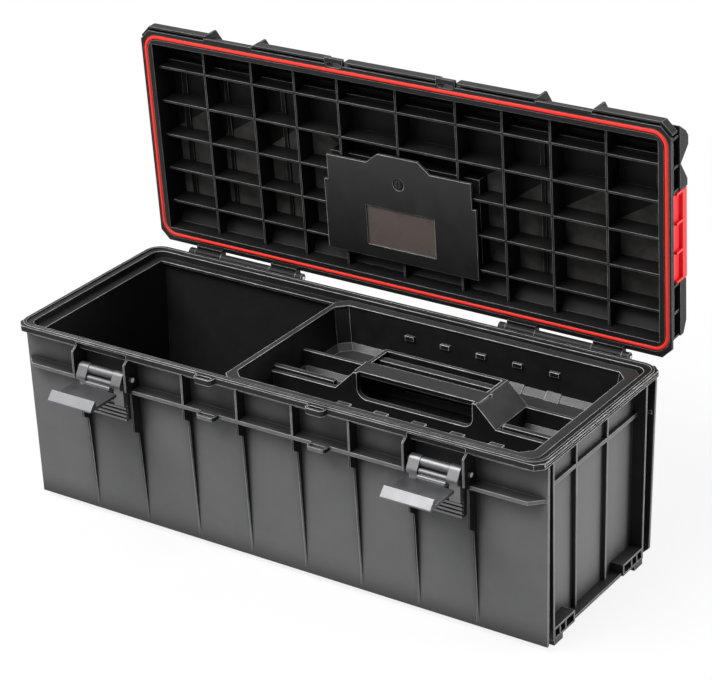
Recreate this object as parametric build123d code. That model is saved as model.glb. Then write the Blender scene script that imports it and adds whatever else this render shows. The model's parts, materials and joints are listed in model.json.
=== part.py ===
from build123d import *
import os

# Long plastic tool box: a ribbed tub, a hinged lid, two draw latches, a lift-out tray,
# a fold-down carry handle on the lid and a clip on each end of the lid.
# Millimetres, +X along the length, +Y to the back, +Z up, z = 0 on the ground.

# Tub
WALL_L = 638.0        # length of the front and back walls
WALL_W = 212.0        # across the outside of the front and back walls
WALL_T = 3.0          # wall and floor thickness
RIM_Z = 213.0         # top of the rim above the ground
FOOT_H = 6.0          # feet below the floor
END_SET_IN = 16.0     # end walls stand back from the ends of the front wall
BACK_LEAN = 6.5       # the back wall leans out from the floor to the ledge
END_LEAN = 2.0        # the ends of the front and back walls lean out as well
WALL_CHAMFER = 6.0    # cut lower corners of the back wall
FLANGE_OUT = 15.3     # rim flange beyond the front and back walls
FLANGE_END = 3.0      # rim flange beyond the ends of the front wall
FLANGE_T = 6.4        # rim flange thickness
FLANGE_CORNER = 8.0   # cut corners of the rim flange
LEDGE_DROP = 8.0      # tray ledge below the rim
LEDGE_T = 3.0         # thickness of the tray ledge
LEDGE_W = 9.0         # tray ledge width along the front and back
LEDGE_END_W = 10.5    # tray ledge width at the ends
RIM_T = 3.5           # upstanding rim wall
RIM_R = 12.0          # inner corner radius of the rim
LIP_H = 1.7           # sealing lip above the rim
LIP_T = 3.3           # sealing lip thickness
LIP_SET_IN = 0.9      # sealing lip behind the front edge of the flange
LIP_END_IN = 1.2      # sealing lip behind the end edge of the flange
GROOVE_H = 1.8        # shadow groove round the ends of the flange
GROOVE_D = 2.0        # depth of that groove
BAY_LIP = 2.2         # thin edge left on the flange above each latch
# Ribs on the tub
FIN_END = 78.9        # last fins from the ends of the front wall
FIN_T = 2.4           # fin thickness
FIN_OUT = 13.5        # fins stand out from the front and back walls
FIN_PAIRS = 4         # fins each side of the middle
FIN_STEP_DROP = 59.0  # step in a fin, below the rim
EAR_STEP_DROP = 91.0  # the same step in the fins beside a latch
FIN_STEP_IN = 7.5     # size of that step
FIN_STEP_H = 5.0      # height of the sloped part of the step
BACK_FIN_FOOT = 2.0   # back fins stand out at the floor
RIB_DROP = 42.5       # top of the long rib, below the rim
RIB_T = 4.0           # long rib thickness
EAR_OUT = 8.0         # latch ears stand out beyond the fins
EAR_TOP = 11.0        # top of an ear, below the rim
EAR_SLOPE = 5.0       # sloped ends of an ear
END_FIN_OUT = 15.0    # outer end fins stand out from the end walls
END_FIN_IN = 15.0     # outer end fins inside the front and back walls
MID_FIN_OUT = 5.0     # inner end fins stand out from the end walls
# Feet
BLOCK_H = 13.0        # corner blocks above the floor
BLOCK_WALL = 2.0      # walls round the pockets in a corner block
BLOCK_CELLS = (9.0, 9.0, 15.0)  # pockets in a corner block, from the outside inwards
PAD_LEN = 17.0        # foot pad length
PAD_DEEP = 13.0       # foot pad depth
SKID_L = 160.0        # middle pad under the floor
SKID_W = 80.0
BAR_OUT = 13.0        # bottom bar at each end
# Padlock loops
PAD_OUT = 3.9         # padlock holes in front of the rim flange
PAD_HOLE_L = 18.0     # padlock hole length
PAD_HOLE_W = 4.8      # padlock hole width
PAD_LAND = 2.2        # plastic round a padlock hole
LOOP_OUT = 5.0        # padlock loop of the lid, outside its hole
# Hinges
HINGE_BACK = 10.7     # hinge axis behind the rim flange
HINGE_DROP = 3.0      # hinge axis below the rim
HINGE_END = 116.4     # middle of each hinge from the ends of the front wall
BARREL_R = 5.0        # hinge barrel radius
HINGE_PIN_R = 2.0     # hinge pin radius
MID_BARREL = 67.0     # length of the middle knuckle on the tub
LID_BARREL = 34.0     # length of each knuckle on the lid
END_BARREL = 8.5      # length of each outer knuckle on the tub
SIDE_GAP = 0.5        # gap between neighbouring knuckles
RUN_GAP = 0.05        # radial running clearance on a pin
PIN_PROUD = 1.0       # pins stand out of what holds them
LID_OPEN = 87.4       # lid angle as modelled, from shut
# Lid
LID_ROOM = 0.9        # lid flange above the sealing lip when shut
LID_END_OVER = 2.5    # lid flange beyond the rim flange, at the ends
LID_BACK_OVER = 5.4   # the same at the back
LID_FRONT_OVER = 4.2  # the same at the front
LID_FLANGE_T = 3.0    # lid flange thickness
LID_CORNER = 11.0     # cut corners of the lid
LID_H = 37.4          # lid height above its flange face
CORE_OVER = 1.2       # front and back of the lid body beyond the rim flange
CORE_END_IN = 9.5    # ends of the lid body behind the ends of its flange
SLOPE_Y = 33.0        # width of the sloped front and back of the lid top
SLOPE_Z = 22.0        # height of those slopes
SKIN = 3.0            # lid top thickness
END_WALL = 4.7        # lid body to its inside, at the ends
LONG_WALL = 12.0      # the same along the front and back
RIB_LOW = 9.0         # rib edges above the lid flange face
LID_RIB_T = 2.2       # lid rib thickness
LID_BAYS = (62.3, 63.5, 56.1, 55.5)  # spaces between the lid ribs, from each end inwards
ROW_PITCH = 40.3      # spacing of the long lid ribs
STEP_H = 10.0         # step along the first row of the lid
STEP_W = 4.0
FRAME_W = 2.5         # step round the inside of the lid
FRAME_RISE = 7.0      # height of that step
BUMPER_OVER = 8.2     # front bumper of the lid beyond the rim flange
BUMPER_T = 2.0        # bumper thickness
BUMPER_LOW = 2.4      # bumper above the lid flange face
BUMPER_H = 13.0       # bumper top above the lid flange face
CATCH_OVER = 6.5      # latch catch beyond the rim flange
CATCH_SIDE = 3.5      # latch gap in the bumper beside the hook
CHEEK_T = 2.2         # cheeks beside the latch gaps
CHEEK_LOW = 13.4      # cheek top below the lid top
CHEEK_W = 17.0        # sloped top of a cheek
# Blocks at the lid ends
BLOCK_OVER = 1.5      # end blocks beyond the lid flange
BLOCK_LIFT = 15.7     # end blocks above the lid flange face
STRUT_T = 2.4         # struts between the lid flange and an end block
FLAT_LOW = 6.0        # block top at the clip, below the lid top
NOTCH_LAND = 1.8      # bottom of the notch above the bottom of the block
PEAK_LOW = 4.0        # block top past the notch, below the lid top
NOSE_LOW = 9.0        # block front and back shoulders, below the lid top
TAIL_H = 6.4          # height of the back end of the block
FLAT_AT = 0.107       # places along the front block, as shares of its length
NOTCH_AT = 0.41
PEAK_AT = 0.626
PEAK_END = 0.763
NOSE_AT = 0.863
SHOULDER_AT = 0.62    # places along the back block
TAIL_AT = 0.786
# Gasket
GASKET_R = 2.5        # gasket half thickness
GASKET_FLAT = 2.0     # gasket middle to its flat back
GASKET_CORNER = 16.0  # gasket corner radius
GASKET_ROOM = 0.3     # gasket above the sealing lip, and groove side room
BED_WALL = 1.6        # outer wall of the gasket groove
# Latches
PIN1_OUT = 14.0      # latch pin in front of the wall
PIN1_DROP = 29.5      # latch pin below the rim
PIN1_R = 2.6          # latch pin radius
PIN1_PROUD = 3.5      # latch pin stands out of the ears
PIN2_OUT = 6.0        # hook pin in front of the latch pin
PIN2_DROP = 7.5       # hook pin below the latch pin
PIN2_R = 1.6          # hook pin radius
LEVER_SIDE = 4.1      # lever beside the ears
ARM_W = 12.5          # lever arm width
ARM_T = 11.0          # lever arm depth
KNUCKLE_R = 6.0       # lever arm round the latch pin
LOBE_R = 4.8          # lever arm round the hook pin
HUB_R = 5.2           # tube of the lever round the latch pin
ARM_LEN = 29.0        # latch pin to the grip
GRIP_H = 20.0         # lever grip height
GRIP_T = 6.0          # lever grip thickness
GRIP_RIBS = 4         # ribs across the grip
GRIP_RIB_H = 2.4
GRIP_RIB_OUT = 2.6
HOOK_SIDE = 0.5       # hook inside the lever width
HOOK_T = 3.5          # hook plate thickness
HOOK_DROP = 4.4       # hook plate face below the hook pin
HOOK_TUBE_R = 3.4     # hook root round its pin
HOOK_ROOT = 9.5       # hook pin to the wide part of the hook
WEB_T = 6.0           # web between the hook root and the plate
ROLL_R = 2.6          # round bead in front of that web
LIP_THICK = 9.5       # hook lip at its foot
LIP_TIP = 1.5         # hook lip at its tip
LIP_EDGE = 1.5        # upright outer edge of the hook lip
HOOK_ROOM = 0.3       # hook lip above the catch when shut
TIP_ROOM = 0.8        # hook lip from the lid body and gasket bed when shut
ARM_ROOM = 0.5        # hook root between the lever arms
# Carry handle in a recess of the lid top
HANDLE_HALF = 84.0    # half of the handle length
HANDLE_ARM_W = 12.0
HANDLE_T = 11.0
HANDLE_PIVOT_Y = 0.5  # handle pins behind the middle
GRIP_BAR_W = 18.0
HANDLE_PIN_R = 2.5
HANDLE_LOW = 2.2      # handle above the recess floor
WELL_D = 16.0         # recess depth
WELL_SIDE = 3.0       # recess beside the handle
WELL_FRONT = 7.5      # recess in front of the handle
WELL_BACK = 8.0       # recess behind the handle
WELL_WALL = 6.0       # recess walls
# Handle cover inside the lid
COVER_T = 3.0
COVER_SIDE = 2.0      # cover beyond the recess walls
COVER_STEP_IN = 5.0   # narrower front part of the cover
COVER_STEP = 10.5     # where it narrows, behind the middle
COVER_OVER = 11.0     # cover behind the last but one long rib
COVER_FRONT = 18.5    # cover in front of the middle
COVER_NOSE = 12.0     # nose of the cover
NOSE_HALF = 25.0
NOSE_SLOPE = 15.0
WINDOW_HALF = 43.0    # recessed window in the cover
WINDOW_H = 46.0
WINDOW_IN = 14.5      # window inside the back edge of the cover
WINDOW_D = 1.6
SCREW_R = 2.0
SCREW_HEAD_R = 4.2
SCREW_HEAD_H = 2.2
SCREW_L = 11.0
BOSS_R = 7.0
# End clips
CLIP_ROOM = 2.3       # clip outside the lid body
CLIP_L = 98.0         # clip length
CLIP_SHIFT = 4.0      # clip in front of the middle
CLIP_DROP = 7.5       # clip top below the lid top
CLIP_WALL = 2.4
CLIP_POCKET = 4.0     # depth of the pockets in a clip
CLIP_CELLS = 3        # pockets in a clip
CLIP_SIDE_GAP = 1.0
CLIP_PIN_R = 1.5
CLIP_AXIS_DROP = 4.5  # clip pin below the top of the clip
CLIP_SWING = 2.2      # clip above the gasket bed, to swing over it
# Tray
TRAY_L = 369.0        # tray length
TRAY_ROOM = 1.5       # tray rim inside the tub rim
TRAY_RIM_T = 4.0
TRAY_CORNER = 11.0
TRAY_SIDE_ROOM = 1.5  # tray body inside the ledge
TRAY_DEPTH = 45.0     # tray body below the ledge
TRAY_LEAN = 6.0       # tray walls lean in from the ledge to the bottom
TRAY_WALL = 2.4
BAND_H = 6.0          # sloped band round the tray floor
BAND_W = 5.0
PART_DROP = 23.0      # partitions below the tray rim
BACK_PART_Y = 24.0    # back partition
BACK_PART_T = 4.0
FRONT_PART_Y = -34.0  # front partition
FRONT_PART_T = 6.0
HUMP_TOP_HALF = 72.5  # moulded tray handle
HUMP_SLOPE = 23.0
HUMP_T = 3.0
HUMP_SIDE = 4.2       # sloped sides of the tray handle, along the length
DECK_DROP = 8.0
DECK_T = 3.0
GRIP_Y0 = -29.0       # grip bar of the tray handle
GRIP_Y1 = -6.0
GRIP_T2 = 5.0         # grip bar thickness
REAR_BAR_Y0 = 8.0
REAR_BAR_Y1 = 16.5
REAR_BAR_DROP = 3.0
SLOT_DROP = 28.0      # bottom of the hand slot below the tray rim
SLOT_SIDE = 4.0       # hand slot inside the top of the tray handle
SLOT_R = 11.0
TABS = 5              # tabs on each long wall of the tray
TAB_PITCH = 44.0
TAB_W = 11.0          # tabs on the back wall
FRONT_TAB_W = 15.0    # tabs on the front wall
TAB_OUT = 3.0
TAB_H = 5.0
BACK_TAB_DROP = 17.0
FRONT_TAB_DROP = 2.0
PAD_W = 17.0          # raised pads on the sloped band under the back tabs
PAD_T = 1.2
STRIP_H = 4.0
STRIP_T = 5.0

# Places worked out from the sizes above
FLOOR_Z = FOOT_H
WALL_Y = WALL_W / 2
END_X = WALL_L / 2
WALL_X = END_X - END_SET_IN
IN_X = WALL_X - WALL_T
IN_Y = WALL_Y - WALL_T
FLANGE_X = END_X + FLANGE_END
FLANGE_Y = WALL_Y + FLANGE_OUT
LEDGE_Z = RIM_Z - LEDGE_DROP
RIM_X = IN_X + LEDGE_END_W
RIM_Y = IN_Y + LEDGE_W
RIB_Z = RIM_Z - RIB_DROP
FIN_PITCH = (END_X - FIN_END) / (FIN_PAIRS - 0.5)
FIN_Y = WALL_Y + FIN_OUT
EAR_Y = FIN_Y + EAR_OUT
END_FIN_Y = WALL_Y - END_FIN_IN
BLOCK_IN = sum(BLOCK_CELLS) + (len(BLOCK_CELLS) + 1) * BLOCK_WALL
MID_FIN_Y = END_FIN_Y / 3
LIP_X = FLANGE_X - LIP_END_IN
LIP_Y = FLANGE_Y - LIP_SET_IN
LIP_R = GASKET_CORNER + LIP_T / 2
LATCH_X = FIN_PITCH * (FIN_PAIRS - 1)
PAD_X = FIN_PITCH
PAD_Y = -(FLANGE_Y + PAD_OUT)
HINGE_X = END_X - HINGE_END
HINGE_Y = FLANGE_Y + HINGE_BACK
HINGE_Z = RIM_Z - HINGE_DROP
LID_X = FLANGE_X + LID_END_OVER
LID_BACK = FLANGE_Y + LID_BACK_OVER
LID_FRONT = FLANGE_Y + LID_FRONT_OVER
LID_Z = RIM_Z + LIP_H + LID_ROOM
LID_TOP = LID_Z + LID_H
ROOF_Z = LID_TOP - SKIN
RIBS_Z = LID_Z + RIB_LOW
CORE_X = LID_X - CORE_END_IN
CORE_Y = FLANGE_Y + CORE_OVER
CAVITY_X = CORE_X - END_WALL
CAVITY_Y = CORE_Y - LONG_WALL
ROW_2 = 2 * ROW_PITCH
BLOCK_X = LID_X + BLOCK_OVER
BUMPER_OUT = FLANGE_Y + BUMPER_OVER
CATCH_OUT = FLANGE_Y + CATCH_OVER
LEVER_HALF = FIN_PITCH / 2 - FIN_T / 2 - LEVER_SIDE
HOOK_HALF = LEVER_HALF - HOOK_SIDE
CATCH_HALF = HOOK_HALF + CATCH_SIDE
GASKET_X = LIP_X - LIP_T / 2
GASKET_Y = LIP_Y - LIP_T / 2
GASKET_Z = RIM_Z + LIP_H + GASKET_ROOM + GASKET_R
BED_OUT = GASKET_R + GASKET_ROOM + BED_WALL
BED_TOP = GASKET_Z + GASKET_FLAT + LID_FLANGE_T
PIN1_Y = -(WALL_Y + PIN1_OUT)
PIN1_Z = RIM_Z - PIN1_DROP
PIN2_Y = PIN1_Y - PIN2_OUT
PIN2_Z = PIN1_Z - PIN2_DROP
WELL_Z = LID_TOP - WELL_D
HANDLE_REACH = CORE_Y - SLOPE_Y - WELL_WALL - WELL_BACK - HANDLE_PIVOT_Y
WELL_HALF = HANDLE_HALF + WELL_SIDE
WELL_Y0 = HANDLE_PIVOT_Y - HANDLE_T / 2 - WELL_FRONT
WELL_Y1 = HANDLE_PIVOT_Y + HANDLE_REACH + WELL_BACK
HANDLE_Z0 = WELL_Z + HANDLE_LOW
HANDLE_PIVOT_Z = HANDLE_Z0 + HANDLE_T / 2
COVER_Z = RIBS_Z - COVER_T
COVER_HALF = WELL_HALF + WELL_WALL + COVER_SIDE
COVER_NECK = COVER_HALF - COVER_STEP_IN
COVER_BACK = ROW_2 + COVER_OVER
WINDOW_Y1 = COVER_BACK - WINDOW_IN
WINDOW_Y0 = WINDOW_Y1 - WINDOW_H
CLIP_X0 = CORE_X + CLIP_ROOM
CLIP_X1 = BLOCK_X
CLIP_Y0 = -CLIP_SHIFT - CLIP_L / 2
CLIP_Y1 = -CLIP_SHIFT + CLIP_L / 2
CLIP_Z0 = BED_TOP + CLIP_SWING
CLIP_Z1 = LID_TOP - CLIP_DROP
CLIP_AXIS_X = (CLIP_X0 + CLIP_X1) / 2
CLIP_AXIS_Z = CLIP_Z1 - CLIP_AXIS_DROP
TRAY_X1 = RIM_X - TRAY_ROOM
TRAY_X0 = TRAY_X1 - TRAY_L
HUMP_X = (TRAY_X0 + TRAY_X1) / 2
FRONT_TAB_X = HUMP_X + TAB_PITCH
SLOT_HALF = HUMP_TOP_HALF - SLOT_SIDE
LID_AXIS = Axis((0, HINGE_Y, HINGE_Z), (1, 0, 0))


def block(x0, x1, y0, y1, z0, z1):
    """A box between two corners."""
    size = Box(x1 - x0, y1 - y0, z1 - z0)
    return Pos((x0 + x1) / 2, (y0 + y1) / 2, (z0 + z1) / 2) * size


def rod_x(x0, x1, y, z, r):
    """A cylinder along X."""
    return Pos((x0 + x1) / 2, y, z) * Rot(0, 90, 0) * Cylinder(r, x1 - x0)


def rod_y(x, y0, y1, z, r):
    """A cylinder along Y."""
    return Pos(x, (y0 + y1) / 2, z) * Rot(90, 0, 0) * Cylinder(r, y1 - y0)


def rod_z(x, y, z0, z1, r):
    """A cylinder along Z."""
    return Pos(x, y, (z0 + z1) / 2) * Cylinder(r, z1 - z0)


def side_plate(points, x0, x1):
    """A flat plate across X with the outline given as (y, z) points."""
    face = make_face(Polyline(*[(x0, y, z) for y, z in points], close=True))
    return extrude(face, amount=x1 - x0, dir=(1, 0, 0))


def front_plate(points, y0, y1):
    """A flat plate across Y with the outline given as (x, z) points."""
    face = make_face(Polyline(*[(x, y0, z) for x, z in points], close=True))
    return extrude(face, amount=y1 - y0, dir=(0, 1, 0))


def flat_plate(points, z0, z1):
    """A flat plate across Z with the outline given as (x, y) points."""
    face = make_face(Polyline(*[(x, y, z0) for x, y in points], close=True))
    return extrude(face, amount=z1 - z0, dir=(0, 0, 1))


def round_plate(half_x, half_y, r, z0, z1):
    """A plate with rounded corners, centred on the middle of the box."""
    return Pos(0, 0, z0) * extrude(RectangleRounded(2 * half_x, 2 * half_y, r), amount=z1 - z0)


def slot_hole(x, y, length, width, z0, z1):
    """A long round-ended hole along X, cut along Z."""
    return Pos(x, y, z0) * extrude(SlotOverall(length, width), amount=z1 - z0)


def link_plate(at0, r0, at1, r1, x0, x1):
    """A plate across X round two circles, given by their (y, z) middles."""
    rims = (Pos(*at0) * Circle(r0)).edges() + (Pos(*at1) * Circle(r1)).edges()
    plane = Plane(origin=(x0, 0, 0), x_dir=(0, 1, 0), z_dir=(1, 0, 0))
    return plane * extrude(make_hull(rims), amount=x1 - x0)


def cut_corners(x0, x1, y0, y1, c):
    """The outline of a rectangle with cut corners."""
    return [(x0 + c, y0), (x1 - c, y0), (x1, y0 + c), (x1, y1 - c),
            (x1 - c, y1), (x0 + c, y1), (x0, y1 - c), (x0, y0 + c)]


def one(shape):
    """One solid from a fused shape."""
    return shape.solid()


def fused(pieces):
    """All pieces joined."""
    first = pieces[0]
    return first.fuse(*pieces[1:])


def mirror_x(shape):
    return shape.mirror(Plane.YZ)


# Tub: walls, floor, rim with its ledge, flange and sealing lip
def back_at(z):
    """The outside of the leaning back wall at a height."""
    return WALL_Y + BACK_LEAN * (z - FLOOR_Z) / (LEDGE_Z - FLOOR_Z)


def lean_at(y, z):
    """A place on an end wall, moved with the lean of the back wall at a height."""
    return y + (back_at(z) - WALL_Y) * (y + WALL_Y) / WALL_W


TOP_X = END_X + END_LEAN
BACK_TOP = back_at(LEDGE_Z)
BODY_LINE = [(-WALL_Y, FLOOR_Z), (WALL_Y, FLOOR_Z), (BACK_TOP, LEDGE_Z), (-WALL_Y, LEDGE_Z)]
FRONT_LINE = [(-END_X, FLOOR_Z), (END_X, FLOOR_Z), (TOP_X, LEDGE_Z), (-TOP_X, LEDGE_Z)]
BACK_LINE = [
    (-TOP_X, LEDGE_Z), (-END_X, FLOOR_Z + WALL_CHAMFER), (-END_X + WALL_CHAMFER, FLOOR_Z),
    (END_X - WALL_CHAMFER, FLOOR_Z), (END_X, FLOOR_Z + WALL_CHAMFER), (TOP_X, LEDGE_Z),
]
BACK_SLAB = [(IN_Y, FLOOR_Z), (WALL_Y, FLOOR_Z), (BACK_TOP, LEDGE_Z), (BACK_TOP - WALL_T, LEDGE_Z)]
FLANGE_CUT = cut_corners(-FLANGE_X, FLANGE_X, -FLANGE_Y, FLANGE_Y, FLANGE_CORNER)
back_wall = side_plate(BACK_SLAB, -TOP_X, TOP_X) & front_plate(BACK_LINE, IN_Y - WALL_T, BACK_TOP + WALL_T)
tub = [
    side_plate(BODY_LINE, -WALL_X, WALL_X),
    front_plate(FRONT_LINE, -WALL_Y, -IN_Y),
    back_wall,
    round_plate(RIM_X + RIM_T, RIM_Y + RIM_T, RIM_R + RIM_T, LEDGE_Z - LEDGE_T, RIM_Z),
    flat_plate(FLANGE_CUT, RIM_Z - FLANGE_T, RIM_Z),
    round_plate(LIP_X, LIP_Y, LIP_R, RIM_Z, RIM_Z + LIP_H),
]

# Fins and long ribs on the front and back
def fin_line(step_drop):
    """The outline of a fin, with its step this far below the rim."""
    return [
        (-IN_Y - WALL_T / 2, FIN_TOP),
        (-FIN_Y, FIN_TOP),
        (-FIN_Y, RIM_Z - step_drop),
        (-FIN_Y + FIN_STEP_IN, RIM_Z - step_drop - FIN_STEP_H),
        (-WALL_Y, FLOOR_Z + WALL_T),
        (-IN_Y - WALL_T / 2, FLOOR_Z + WALL_T),
    ]


FIN_TOP = RIM_Z - FLANGE_T / 2
BACK_FIN = [
    (WALL_Y - WALL_T / 2, FLOOR_Z + WALL_T),
    (WALL_Y + BACK_FIN_FOOT, FLOOR_Z + WALL_T),
    (FIN_Y, FIN_TOP),
    (BACK_TOP - WALL_T / 2, FIN_TOP),
]
EAR_LINE = [
    (-WALL_Y, RIM_Z - EAR_TOP + EAR_SLOPE),
    (-FIN_Y, RIM_Z - EAR_TOP + EAR_SLOPE),
    (-EAR_Y, RIM_Z - EAR_TOP),
    (-EAR_Y, RIB_Z + EAR_SLOPE - RIB_T),
    (-FIN_Y, RIB_Z - RIB_T),
    (-WALL_Y, RIB_Z - RIB_T),
]
for i in range(FIN_PAIRS):
    x = FIN_PITCH * (i + 0.5)
    ear = i >= FIN_PAIRS - 2
    for s in (-1, 1):
        x0 = s * x - FIN_T / 2
        x1 = s * x + FIN_T / 2
        tub.append(side_plate(BACK_FIN, x0, x1))
        tub.append(side_plate(fin_line(EAR_STEP_DROP if ear else FIN_STEP_DROP), x0, x1))
        if ear:
            tub.append(side_plate(EAR_LINE, x0, x1))
BAY_X0 = LATCH_X - FIN_PITCH / 2
BAY_X1 = LATCH_X + FIN_PITCH / 2
RIB_MID = [(-BAY_X0, -WALL_Y), (-BAY_X0, -FIN_Y), (BAY_X0, -FIN_Y), (BAY_X0, -WALL_Y)]
RIB_SIDE = [(BAY_X1, -WALL_Y), (BAY_X1, -FIN_Y), (END_X - FIN_OUT, -FIN_Y), (END_X, -WALL_Y)]
RIB_BACK = [(-END_X, WALL_Y), (END_X, WALL_Y), (END_X - FIN_OUT, FIN_Y), (FIN_OUT - END_X, FIN_Y)]
tub.append(flat_plate(RIB_MID, RIB_Z - RIB_T, RIB_Z))
tub.append(flat_plate(RIB_SIDE, RIB_Z - RIB_T, RIB_Z))
tub.append(mirror_x(flat_plate(RIB_SIDE, RIB_Z - RIB_T, RIB_Z)))
tub.append(flat_plate(RIB_BACK, RIB_Z - RIB_T, RIB_Z))

# Fins, rib, corner blocks and feet at the ends
BLOCK_Y0 = END_FIN_Y - BLOCK_IN
end_bits = [
    block(WALL_X, WALL_X + MID_FIN_OUT, -END_FIN_Y, lean_at(END_FIN_Y, RIB_Z), RIB_Z - RIB_T, RIB_Z),
    block(WALL_X, WALL_X + BAR_OUT, -BLOCK_Y0, BLOCK_Y0, FLOOR_Z, FLOOR_Z + WALL_T),
]
for s in (-1, 1):
    for y, out in ((s * END_FIN_Y, END_FIN_OUT), (s * MID_FIN_Y, MID_FIN_OUT)):
        low = lean_at(y, FLOOR_Z)
        high = lean_at(y, FIN_TOP)
        end_fin = [(low - FIN_T / 2, FLOOR_Z), (low + FIN_T / 2, FLOOR_Z),
                   (high + FIN_T / 2, FIN_TOP), (high - FIN_T / 2, FIN_TOP)]
        end_bits.append(side_plate(end_fin, WALL_X, WALL_X + out))
    y0 = min(s * BLOCK_Y0, s * END_FIN_Y)
    y1 = max(s * BLOCK_Y0, s * END_FIN_Y)
    corner = block(WALL_X, WALL_X + END_FIN_OUT, y0, y1, FLOOR_Z, FLOOR_Z + BLOCK_H)
    at = END_FIN_Y
    for cell in BLOCK_CELLS:
        c0 = at - BLOCK_WALL
        c1 = c0 - cell
        corner -= block(WALL_X + BLOCK_WALL, WALL_X + END_FIN_OUT + 1, min(s * c0, s * c1),
                        max(s * c0, s * c1), FLOOR_Z + BLOCK_WALL, FLOOR_Z + BLOCK_H - BLOCK_WALL)
        at = c1
    end_bits.append(corner)
    f0 = min(s * (END_FIN_Y - PAD_LEN), s * END_FIN_Y)
    f1 = max(s * (END_FIN_Y - PAD_LEN), s * END_FIN_Y)
    end_bits.append(block(WALL_X + END_FIN_OUT - PAD_DEEP, WALL_X + END_FIN_OUT, f0, f1,
                          0, FLOOR_Z + BLOCK_WALL))
end_side = fused(end_bits)
tub.append(end_side)
tub.append(mirror_x(end_side))
tub.append(block(-SKID_L / 2, SKID_L / 2, -SKID_W / 2, SKID_W / 2, 0, FLOOR_Z + WALL_T / 2))

# Padlock loops on the flange and the long rib
LOOP_L = PAD_HOLE_L + 2 * PAD_LAND
LOOP_W = PAD_HOLE_W + 2 * PAD_LAND
for s in (-1, 1):
    for z0, z1 in ((RIM_Z - FLANGE_T, RIM_Z), (RIB_Z - RIB_T, RIB_Z)):
        tub.append(slot_hole(s * PAD_X, PAD_Y, LOOP_L, LOOP_W, z0, z1))
        tub.append(block(s * PAD_X - LOOP_L / 2, s * PAD_X + LOOP_L / 2, PAD_Y, -WALL_Y, z0, z1))

# Hinge knuckles on the tub
MID_X0 = HINGE_X - MID_BARREL / 2
MID_X1 = HINGE_X + MID_BARREL / 2
OUT_X0 = MID_X0 - 2 * SIDE_GAP - LID_BARREL
OUT_X1 = MID_X1 + 2 * SIDE_GAP + LID_BARREL
for a, b in ((MID_X0, MID_X1), (OUT_X0 - END_BARREL, OUT_X0), (OUT_X1, OUT_X1 + END_BARREL)):
    for s in (-1, 1):
        x0 = min(s * a, s * b)
        x1 = max(s * a, s * b)
        tub.append(rod_x(x0, x1, HINGE_Y, HINGE_Z, BARREL_R))
        tub.append(block(x0, x1, FLANGE_Y - RIM_T, HINGE_Y, HINGE_Z - BARREL_R, HINGE_Z))

tub = fused(tub)
IN_Z0 = FLOOR_Z + WALL_T
IN_Z1 = LEDGE_Z - LEDGE_T
INSIDE = [(-IN_Y, IN_Z0), (back_at(IN_Z0) - WALL_T, IN_Z0), (back_at(IN_Z1) - WALL_T, IN_Z1), (-IN_Y, IN_Z1)]
tub -= side_plate(INSIDE, -IN_X, IN_X)
tub -= block(-IN_X, IN_X, -IN_Y, IN_Y, IN_Z1 - 1, RIM_Z + LIP_H + 1)
tub -= round_plate(RIM_X, RIM_Y, RIM_R, LEDGE_Z, RIM_Z + LIP_H + 1)
lip_bed = round_plate(LIP_X - LIP_T, LIP_Y - LIP_T, LIP_R - LIP_T, RIM_Z, RIM_Z + LIP_H + 1)
tub -= lip_bed
for s in (-1, 1):
    g0 = min(s * (FLANGE_X - GROOVE_D), s * (FLANGE_X + 1))
    g1 = max(s * (FLANGE_X - GROOVE_D), s * (FLANGE_X + 1))
    tub -= block(g0, g1, FLANGE_CORNER - FLANGE_Y, FLANGE_Y - FLANGE_CORNER, FIN_TOP, FIN_TOP + GROOVE_H)
    tub -= block(s * LATCH_X - FIN_PITCH / 2 + FIN_T / 2, s * LATCH_X + FIN_PITCH / 2 - FIN_T / 2,
                 -FLANGE_Y - 1, -RIM_Y - RIM_T, RIM_Z - FLANGE_T - 1, RIM_Z - BAY_LIP)
    tub -= slot_hole(s * PAD_X, PAD_Y, PAD_HOLE_L, PAD_HOLE_W, RIB_Z - RIB_T - 1, RIM_Z + 1)
    tub -= rod_x(s * HINGE_X - MID_BARREL * 2, s * HINGE_X + MID_BARREL * 2,
                 HINGE_Y, HINGE_Z, HINGE_PIN_R)
    tub -= rod_x(s * LATCH_X - FIN_PITCH, s * LATCH_X + FIN_PITCH, PIN1_Y, PIN1_Z, PIN1_R)
base_tub = one(tub)

# Hinge pins, each through one hinge
HINGE_PIN_X0 = OUT_X0 - END_BARREL - PIN_PROUD
HINGE_PIN_X1 = OUT_X1 + END_BARREL + PIN_PROUD
hinge_pin_right = rod_x(HINGE_PIN_X0, HINGE_PIN_X1, HINGE_Y, HINGE_Z, HINGE_PIN_R)
hinge_pin_left = rod_x(-HINGE_PIN_X1, -HINGE_PIN_X0, HINGE_Y, HINGE_Z, HINGE_PIN_R)

# Lid, modelled shut and swung open at the end
CORE_LINE = [
    (-CORE_Y, LID_Z), (-CORE_Y, LID_TOP - SLOPE_Z), (-CORE_Y + SLOPE_Y, LID_TOP),
    (CORE_Y - SLOPE_Y, LID_TOP), (CORE_Y, LID_TOP - SLOPE_Z), (CORE_Y, LID_Z),
]
CAVITY_RISE = SLOPE_Z * (CORE_Y - CAVITY_Y) / SLOPE_Y
CAVITY_LINE = [
    (-CAVITY_Y, LID_Z - 1),
    (-CAVITY_Y, ROOF_Z - SLOPE_Z + CAVITY_RISE),
    (-CORE_Y + SLOPE_Y, ROOF_Z),
    (CORE_Y - SLOPE_Y, ROOF_Z),
    (CAVITY_Y, ROOF_Z - SLOPE_Z + CAVITY_RISE),
    (CAVITY_Y, LID_Z - 1),
]
lid = side_plate(CORE_LINE, -CORE_X, CORE_X)
lid -= side_plate(CAVITY_LINE, -CAVITY_X, CAVITY_X)
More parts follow.
